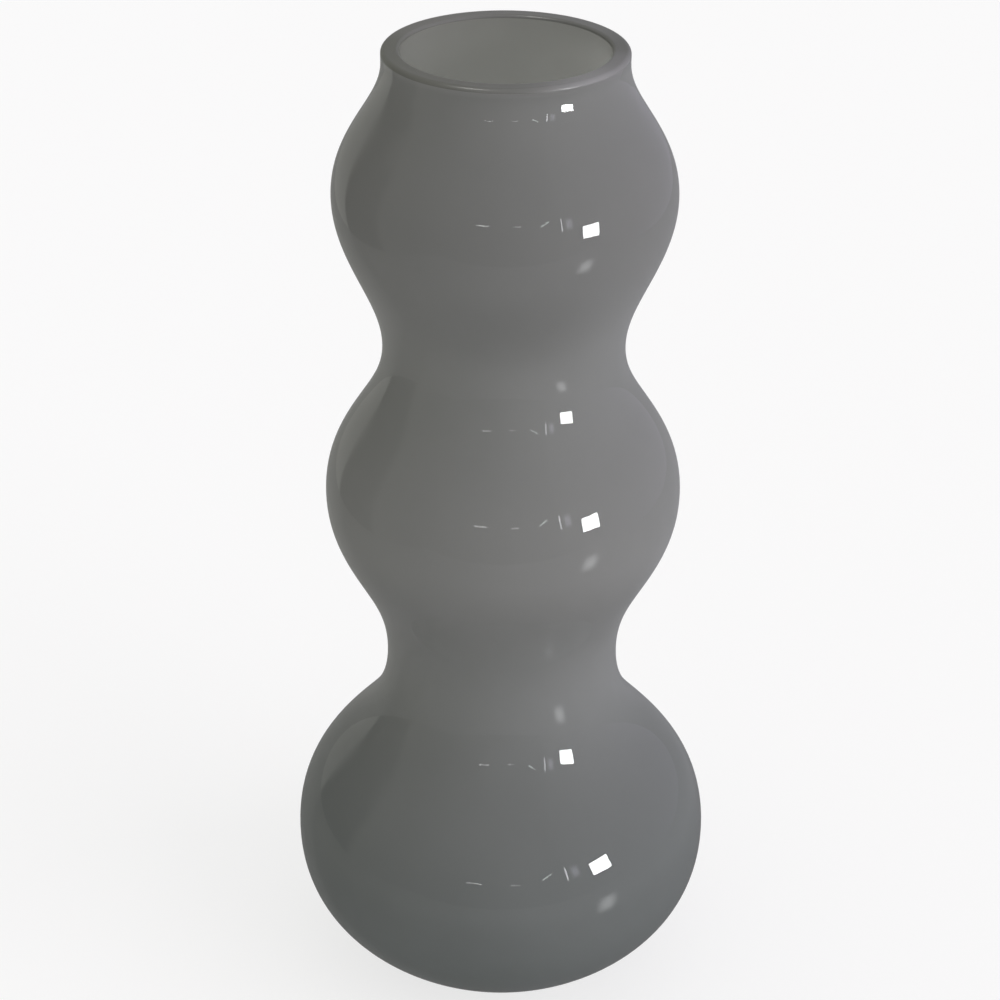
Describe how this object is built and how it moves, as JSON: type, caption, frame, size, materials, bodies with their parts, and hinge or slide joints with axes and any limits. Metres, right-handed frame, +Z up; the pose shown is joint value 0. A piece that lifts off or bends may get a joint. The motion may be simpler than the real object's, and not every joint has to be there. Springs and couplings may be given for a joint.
{
  "type": "glass vase",
  "caption": "Tall blown glass vase of stacked bulbs in glossy smoke-grey cased opal glass, open at the top, which holds cut flowers and water on a table or shelf.",
  "frame": {"origin": "middle of the flat foot, in the plane of the surface that the vase stands on", "axes": "+Z up along the vase's axis, from the foot to the mouth; X and Y are level and may point any way, because the vase is round"},
  "size_m": [0.1066, 0.1066, 0.25],
  "materials": {
    "smoke_glass": "transparent smoke-grey blown glass, fire-polished, with a ground and polished rim and foot",
    "opal_glass": "milky grey opal glass, glossy, opaque at this thickness"
  },
  "bodies": {
    "root": {"outer_casing": "smoke_glass", "opal_lining": "opal_glass"}
  },
  "joints": []
}
